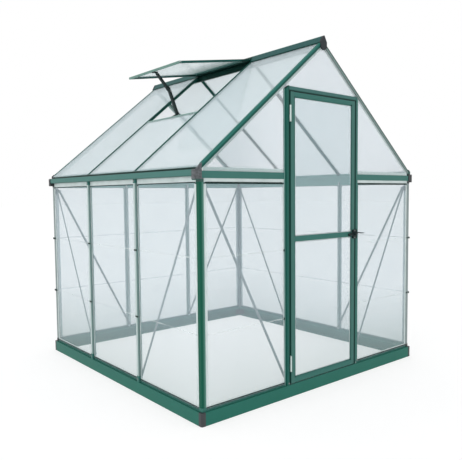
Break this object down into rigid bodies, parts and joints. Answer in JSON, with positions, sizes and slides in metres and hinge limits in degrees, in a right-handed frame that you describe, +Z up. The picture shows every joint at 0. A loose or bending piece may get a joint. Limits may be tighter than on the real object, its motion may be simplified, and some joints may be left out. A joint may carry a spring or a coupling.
{
  "type": "polycarbonate greenhouse",
  "caption": "Small walk-in greenhouse with grooved metal bars, clear wall sheets, translucent roof sheets, a hinged front door with a lever latch and a propped roof vent.",
  "frame": {"origin": "centre of the base ring, on the ground", "axes": "+Z up; +X to the right across the front gable; the door faces -Y"},
  "size_m": [1.88, 1.8853, 2.081],
  "materials": {
    "green_aluminium": "satin green powder coat",
    "green_steel": "satin green powder coat on folded steel",
    "bare_aluminium": "plain mill finish",
    "dark_plastic": "moulded, matt",
    "black_plastic": "moulded, matt",
    "clear_sheet": "clear polycarbonate",
    "roof_sheet": "translucent twin-wall polycarbonate"
  },
  "bodies": {
    "greenhouse": {"base_front": "green_steel", "base_back": "green_steel", "base_sides": "green_steel", "base_corners": "dark_plastic", "sill_front": "green_aluminium", "sill_back": "green_aluminium", "side_sills": "green_aluminium", "corner_posts": "bare_aluminium", "wall_studs": "bare_aluminium", "door_jambs": "green_aluminium", "door_header": "green_aluminium", "eave_left": "green_aluminium", "eave_right": "green_aluminium", "gable_tie_front": "green_aluminium", "gable_tie_back": "green_aluminium", "eave_corners": "dark_plastic", "gable_rafters_front": "green_aluminium", "gable_rafters_back": "green_aluminium", "roof_bars": "green_aluminium", "ridge_beam": "green_aluminium", "ridge_caps": "dark_plastic", "wall_sheets_left": "clear_sheet", "wall_sheets_right": "clear_sheet", "wall_sheets_back": "clear_sheet", "wall_sheets_front": "clear_sheet", "gable_sheets_front": "clear_sheet", "gable_sheet_back": "clear_sheet", "roof_sheets_left": "roof_sheet", "roof_sheets_right": "roof_sheet", "wall_braces": "bare_aluminium", "vent_side_bars": "green_aluminium", "vent_end_bars": "green_aluminium", "vent_sheet": "roof_sheet", "vent_sill": "green_aluminium", "vent_stay": "black_plastic", "brace_brackets": "bare_aluminium", "stud_shoes": "green_aluminium", "hinge_leaves": "bare_aluminium", "door_keeper": "black_plastic"},
    "door": {"door_stiles": "green_aluminium", "door_rails": "green_aluminium", "door_sheets": "clear_sheet", "hinge_knuckles": "bare_aluminium", "lock_case": "black_plastic"},
    "lever": {"door_lever": "black_plastic"}
  },
  "joints": [
    {"name": "door_hinge", "type": "hinge", "parent": "greenhouse", "child": "door", "pos_m": [-0.291, -0.934, 0.9], "axis": [0, 0, -1], "range_deg": [0, 110]},
    {"name": "lever_turn", "type": "hinge", "parent": "door", "child": "lever", "pos_m": [0.2735, -0.94, 0.907], "axis": [0, 1, 0], "range_deg": [0, 90]}
  ]
}
